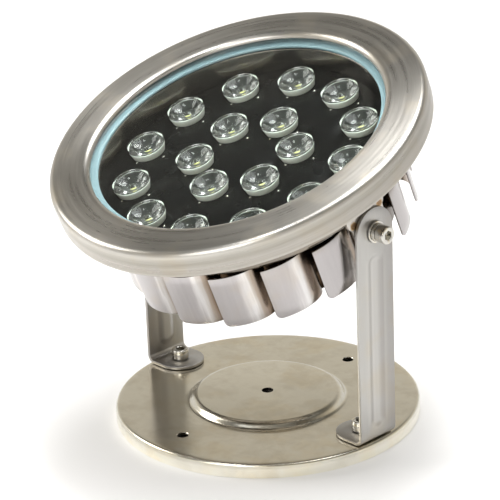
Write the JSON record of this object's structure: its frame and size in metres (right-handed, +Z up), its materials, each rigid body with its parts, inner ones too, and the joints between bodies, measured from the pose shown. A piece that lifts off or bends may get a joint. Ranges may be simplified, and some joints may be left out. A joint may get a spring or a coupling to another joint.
{
  "type": "underwater pond light",
  "caption": "Round stainless underwater spotlight: a glazed LED head with louvred cooling fins tilts between two arms bolted to a round base plate.",
  "frame": {"origin": "on the ground plane under the middle of the whole light's box; the stand's centre is 14.5 mm behind it (+Y)", "axes": "+Z up; X along the tilt axis; the beam leans forward towards -Y at rest"},
  "size_m": [0.22, 0.2095, 0.2196],
  "materials": {
    "bezel_stainless": "satin, brushed round the ring",
    "base_stainless": "satin, warm grey",
    "bracket_stainless": "satin, brushed lengthwise",
    "housing_stainless": "satin, spun",
    "fin_stainless": "satin sheet with brown heat tint near the welds",
    "fastener_stainless": "bright",
    "aluminium": "plain",
    "cover_black": "black",
    "board_black": "black solder mask",
    "driver_grey": "dark grey potting",
    "gasket_silicone": "pale blue-green silicone",
    "seal_rubber": "black",
    "window_glass": "clear tempered glass",
    "lens_clear": "clear acrylic with a frosted side"
  },
  "bodies": {
    "stand": {"base_plate": "base_stainless", "foot_nut_left": "fastener_stainless", "foot_nut_right": "fastener_stainless", "foot_screw_left": "fastener_stainless", "foot_screw_right": "fastener_stainless", "pivot_flat_washer_left": "fastener_stainless", "pivot_flat_washer_right": "fastener_stainless", "pivot_nut_left": "fastener_stainless", "pivot_nut_right": "fastener_stainless", "pivot_screw_left": "fastener_stainless", "pivot_screw_right": "fastener_stainless", "pivot_spring_washer_left": "fastener_stainless", "pivot_spring_washer_right": "fastener_stainless", "support_arm_left": "bracket_stainless", "support_arm_right": "bracket_stainless"},
    "head": {"bezel_backing_ring": "housing_stainless", "bezel_ring": "bezel_stainless", "bezel_screw_1": "fastener_stainless", "bezel_screw_2": "fastener_stainless", "bezel_screw_3": "fastener_stainless", "bezel_screw_4": "fastener_stainless", "bezel_screw_5": "fastener_stainless", "bezel_screw_6": "fastener_stainless", "board_screw_1": "fastener_stainless", "board_screw_2": "fastener_stainless", "board_screw_3": "fastener_stainless", "driver_module": "driver_grey", "ear_bracket_left": "bracket_stainless", "ear_bracket_right": "bracket_stainless", "fin_ring": "fin_stainless", "gland_body": "fastener_stainless", "gland_cap_nut": "fastener_stainless", "gland_lock_nut": "fastener_stainless", "gland_seal": "seal_rubber", "glass_window": "window_glass", "heat_spreader": "aluminium", "housing_flange": "housing_stainless", "housing_shell": "housing_stainless", "led_board": "board_black", "led_cover_plate": "cover_black", "lens_01": "lens_clear", "lens_02": "lens_clear", "lens_03": "lens_clear", "lens_04": "lens_clear", "lens_05": "lens_clear", "lens_06": "lens_clear", "lens_07": "lens_clear", "lens_08": "lens_clear", "lens_09": "lens_clear", "lens_10": "lens_clear", "lens_11": "lens_clear", "lens_12": "lens_clear", "lens_13": "lens_clear", "lens_14": "lens_clear", "lens_15": "lens_clear", "lens_16": "lens_clear", "lens_17": "lens_clear", "lens_18": "lens_clear", "rear_cover": "housing_stainless", "window_gasket": "gasket_silicone"}
  },
  "joints": [
    {"name": "head_tilt", "type": "hinge", "parent": "stand", "child": "head", "pos_m": [0, 0.0145, 0.1349], "axis": [1, 0, 0], "range_deg": [-111.4, 68.6]}
  ]
}
